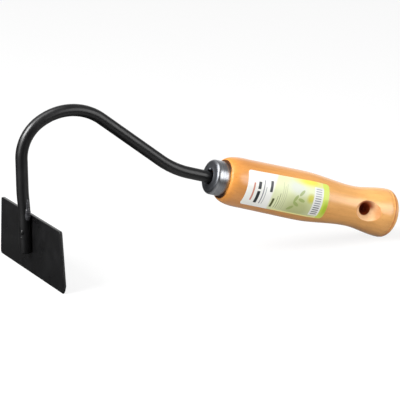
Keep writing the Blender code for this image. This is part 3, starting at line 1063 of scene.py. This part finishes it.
def hang_hole_cutter(grip):
    """A drill with a countersink on each side, through the wood along Y."""
    place = (HANG_HOLE_AT, 0, HANG_HOLE_RISE)
    sink_start = radius_at(grip, place[0]) - SINK_DEPTH
    reach = BUTT_RADIUS
    mouth = HANG_HOLE_RADIUS + (reach - sink_start) * SINK_SLOPE
    cutter = begin(
        bpy.ops.mesh.primitive_circle_add,
        vertices=HOLE_SIDES,
        radius=mouth,
        fill_type="NGON",
        location=(place[0], -reach, place[2]),
        rotation=(math.pi / 2, 0, 0),
    )
    narrow = HANG_HOLE_RADIUS / mouth
    pull((0, reach - sink_start, 0), (narrow, 1, narrow))
    pull((0, 2 * sink_start, 0))
    pull((0, reach - sink_start, 0), (1 / narrow, 1, 1 / narrow))
    close_up()
    return cutter


def carve(obj, cutter):
    """Takes the cutter away from the object, and removes it."""
    bpy.ops.object.mode_set(mode="OBJECT")
    modify(obj, "BOOLEAN", object=cutter, operation="DIFFERENCE", solver="EXACT")
    bpy.data.objects.remove(cutter)


def line_hang_hole(handle, drilled, countersunk, grip):
    """Gives the hang hole's straight wall and its countersinks their own, bare finishes."""
    handle.data.materials.append(drilled)
    handle.data.materials.append(countersunk)
    to_handle = HANDLE_FRAME.inverted()
    sink_start = radius_at(grip, HANG_HOLE_AT) - SINK_DEPTH
    for face in handle.data.polygons:
        place = to_handle @ face.center
        reach = Vector((place.x - HANG_HOLE_AT, place.z - HANG_HOLE_RISE)).length
        sunk = max(abs(place.y) - sink_start, 0) * SINK_SLOPE
        if reach < HANG_HOLE_RADIUS + SLACK:
            face.material_index = 1
        elif reach < HANG_HOLE_RADIUS + sunk + SLACK:
            face.material_index = 2


def make_label(grip):
    """A sheet with rounded corners, cut into small cells and wrapped round the wood."""
    centre = LABEL_START + LABEL_LENGTH / 2
    wrap_radius = radius_at(grip, centre)
    label = begin(bpy.ops.mesh.primitive_plane_add, size=1, location=(centre, 0, 0))
    bpy.ops.transform.resize(value=(LABEL_LENGTH, LABEL_WIDTH, 1))
    bpy.ops.mesh.select_all(action="SELECT")
    bpy.ops.mesh.bevel(offset=LABEL_CORNER, segments=6, affect="VERTICES")
    for length, place, across in (
        (LABEL_LENGTH, Vector((centre, 0, 0)), Vector((1, 0, 0))),
        (LABEL_WIDTH, Vector((0, 0, 0)), Vector((0, 1, 0))),
    ):
        count = math.ceil(length / LABEL_CELL)
        for i in range(1, count):
            bpy.ops.mesh.select_all(action="SELECT")
            cut = place + across * length * (i / count - 0.5)
            bpy.ops.mesh.bisect(plane_co=cut, plane_no=across)
    bpy.ops.object.mode_set(mode="OBJECT")
    unwrapped = label.data.uv_layers.new(name="print")
    for loop in label.data.loops:
        flat = label.data.vertices[loop.vertex_index].co
        along = (flat.x - LABEL_START) / LABEL_LENGTH
        unwrapped.data[loop.index].uv = (along, flat.y / LABEL_WIDTH + 0.5)
    for vert in label.data.vertices:
        along = (vert.co.x - LABEL_START) / LABEL_LENGTH
        across = vert.co.y / LABEL_WIDTH + 0.5
        vert.co.y += LABEL_TOP_RISE * along * across - LABEL_FOOT_DROP * (1 - along) * (1 - across)
        angle = vert.co.y / wrap_radius
        radius = radius_at(grip, vert.co.x) + LABEL_LIFT
        vert.co = Vector((vert.co.x, -radius * math.cos(angle), radius * math.sin(angle)))
    modify(label, "SOLIDIFY", thickness=LABEL_THICKNESS, offset=1)
    return label


# Scene


def studio_lamps():
    """Four softboxes round the hoe, all aimed at its middle."""
    for name, (place, size, watts) in LAMPS.items():
        lamp = bpy.data.lights.new(name, "AREA")
        lamp.shape = "RECTANGLE"
        lamp.size, lamp.size_y = size
        lamp.energy = watts
        softbox = bpy.data.objects.new(name, lamp)
        bpy.context.scene.collection.objects.link(softbox)
        softbox.location = place
        aim = Vector(LAMP_TARGET) - Vector(place)
        softbox.rotation_euler = aim.to_track_quat("-Z", "Y").to_euler()


def seen_white(tree, mirrored):
    """How much of the white a ray sees: the camera and glass all of it, polish what is mirrored."""
    rays = node(tree, "ShaderNodeLightPath")
    direct = node(
        tree,
        "ShaderNodeMath",
        {"operation": "MAXIMUM"},
        _0=rays.outputs["Is Camera Ray"],
        _1=rays.outputs["Is Transmission Ray"],
    )
    return node(
        tree,
        "ShaderNodeMath",
        {"operation": "MULTIPLY_ADD"},
        _0=rays.outputs["Is Glossy Ray"],
        _1=mirrored,
        _2=direct,
    )


def mirrored_patches(tree, across, depth):
    """Where polish sees a brighter floor: close in front of the hoe, and at its left front corner."""
    run = node(tree, "ShaderNodeMapRange", Value=across, From_Min=-0.1, From_Max=0.1)
    right = node(
        tree,
        "ShaderNodeValToRGB",
        {"stops": ((0.2, "#000000"), (0.43, "#ffffff"), (0.65, "#ffffff"), (0.95, "#777777"))},
        Fac=run,
    )
    close = node(tree, "ShaderNodeMapRange", Value=depth, From_Min=-0.35, From_Max=-0.15)
    front = node(tree, "ShaderNodeMapRange", Value=depth, From_Min=0.07, From_Max=0.01)
    beside = node(tree, "ShaderNodeMath", {"operation": "MULTIPLY"}, _0=right, _1=close)
    lit = node(tree, "ShaderNodeMath", {"operation": "MULTIPLY"}, _0=beside, _1=front)
    left = node(
        tree, "ShaderNodeMapRange", Value=across, From_Min=-0.13, From_Max=-0.17, To_Max=0.45
    )
    fore = node(tree, "ShaderNodeMapRange", Value=depth, From_Min=-0.05, From_Max=-0.1)
    corner = node(tree, "ShaderNodeMath", {"operation": "MULTIPLY"}, _0=left, _1=fore)
    return node(tree, "ShaderNodeMath", {"operation": "MAXIMUM"}, _0=lit, _1=corner)


def studio_floor():
    """A pale floor: white to the camera, with the hoe's faint shadow.

    Polish mirrors a white strip behind the hoe, a dark grey floor elsewhere, and two brighter patches
    on it. The object is lit by the floor's own pale grey. Its patterns are in metres.
    """
    material = bpy.data.materials.new("white_studio_floor")
    tree = empty_tree(material)
    place = node(tree, "ShaderNodeTexCoord").outputs["Object"]
    across = node(
        tree, "ShaderNodeVectorMath", {"operation": "DOT_PRODUCT"}, _0=place, _1=VIEW_RIGHT
    )
    depth = node(
        tree, "ShaderNodeVectorMath", {"operation": "DOT_PRODUCT"}, _0=place, _1=VIEW_BACK
    )
    rays = node(tree, "ShaderNodeLightPath")
    polish = node(
        tree,
        "ShaderNodeValToRGB",
        {"stops": ((0.0, "#303030"), (1.0, "#989898"))},
        Fac=mirrored_patches(tree, across, depth),
    )
    bounce = node(
        tree,
        "ShaderNodeMix",
        BLEND,
        Factor=rays.outputs["Is Glossy Ray"],
        A=colour("#b0b0b0"),
        B=polish,
    )
    pale = node(
        tree,
        "ShaderNodeMix",
        BLEND,
        Factor=rays.outputs["Is Camera Ray"],
        A=bounce,
        B=colour("#f0f0f0"),
    )
    shader = node(
        tree, "ShaderNodeBsdfPrincipled", Base_Color=pale, Roughness=0.9, Specular_IOR_Level=0.0
    )
    strip = node(tree, "ShaderNodeMapRange", Value=across, From_Min=-0.12, From_Max=0.0)
    behind = node(tree, "ShaderNodeMapRange", Value=depth, From_Min=0.02, From_Max=0.14)
    mirrored = node(tree, "ShaderNodeMath", {"operation": "MULTIPLY"}, _0=strip, _1=behind)
    white = seen_white(tree, mirrored)
    share = node(tree, "ShaderNodeMath", {"operation": "MULTIPLY"}, _0=white, _1=0.85)
    glow = node(tree, "ShaderNodeEmission", Strength=1.0)
    seen = node(tree, "ShaderNodeMixShader", Fac=share, _1=shader, _2=glow)
    node(tree, "ShaderNodeOutputMaterial", Surface=seen)

    bpy.ops.object.select_all(action="DESELECT")
    bpy.ops.mesh.primitive_plane_add(size=FLOOR_SIZE)
    floor = bpy.context.object
    floor.name = "floor"
    floor.data.materials.append(material)


def studio_air():
    """White behind the hoe, to the camera and to polish alike, a soft ceiling and dim walls."""
    world = bpy.data.worlds.new("studio_air")
    bpy.context.scene.world = world
    tree = empty_tree(world)
    heading = node(tree, "ShaderNodeTexCoord").outputs["Generated"]
    ceiling = node(
        tree,
        "ShaderNodeMapRange",
        Value=node(tree, "ShaderNodeSeparateXYZ", Vector=heading).outputs["Z"],
        From_Min=0.15,
        From_Max=0.6,
        To_Min=0.09,
        To_Max=0.36,
    )
    air = node(tree, "ShaderNodeBackground", Color=colour("#ffffff"), Strength=ceiling)
    white = node(tree, "ShaderNodeBackground", Color=colour("#ffffff"), Strength=1.0)
    towards = node(
        tree, "ShaderNodeVectorMath", {"operation": "DOT_PRODUCT"}, _0=heading, _1=VIEW_BACK
    )
    backdrop = node(tree, "ShaderNodeMapRange", Value=towards, From_Min=0.76, From_Max=0.95)
    seen = node(
        tree, "ShaderNodeMixShader", Fac=seen_white(tree, backdrop), _1=air, _2=white
    )
    node(tree, "ShaderNodeOutputWorld", Surface=seen)


def studio_camera():
    """A long lens at the photograph's viewing angle."""
    data = bpy.data.cameras.new("camera")
    data.lens = CAMERA_LENS
    data.sensor_width = CAMERA_SENSOR
    camera = bpy.data.objects.new("camera", data)
    bpy.context.scene.collection.objects.link(camera)
    right, up = Vector(CAMERA_RIGHT), Vector(CAMERA_UP)
    turn = Matrix((right, up, right.cross(up))).transposed().to_4x4()
    camera.matrix_world = Matrix.Translation(CAMERA_PLACE) @ turn
    bpy.context.scene.camera = camera


def main():
    bpy.context.scene.view_settings.view_transform = "Standard"
    enamel = black_enamel("black_stoving_enamel", "#0b0b0c", "#111112", 0.27)
    # The welds' enamel is greyer: partly thin paint, partly a painted highlight on the beads
    weld_enamel_and_highlight = black_enamel("thin_enamel_on_weld_metal", "#222224", "#3c3c40", 0.23)
    grip = grip_profile()

    neck, seat = make_neck()
    on_blade = HANDLE_FRAME @ seat
    set_down(neck, "bent_neck", HANDLE_FRAME, enamel, "neck")
    set_down(make_blade(), "hoe_blade", on_blade, enamel, "blade")
    long_weld = make_bead(*LONG_WELD)
    set_down(long_weld, "long_weld", on_blade, weld_enamel_and_highlight, "side_weld")
    short_weld = make_bead(*SHORT_WELD)
    set_down(short_weld, "short_weld", on_blade, weld_enamel_and_highlight, "tack_weld")
    set_down(make_spatter(), "weld_spatter", on_blade, enamel)
    steel = drawn_steel()
    set_down(make_ferrule(), "ferrule_cup", HANDLE_FRAME, steel, "ferrule")
    wood = lacquered_beech()
    handle = make_handle(grip)
    set_down(handle, "turned_handle", HANDLE_FRAME, wood, "handle")
    line_hang_hole(handle, drilled_beech(), countersunk_beech(), grip)
    paper = printed_paper()
    set_down(make_label(grip), "printed_label", HANDLE_FRAME, paper, "paper_label")

    studio_floor()
    studio_air()
    studio_camera()
    studio_lamps()


main()
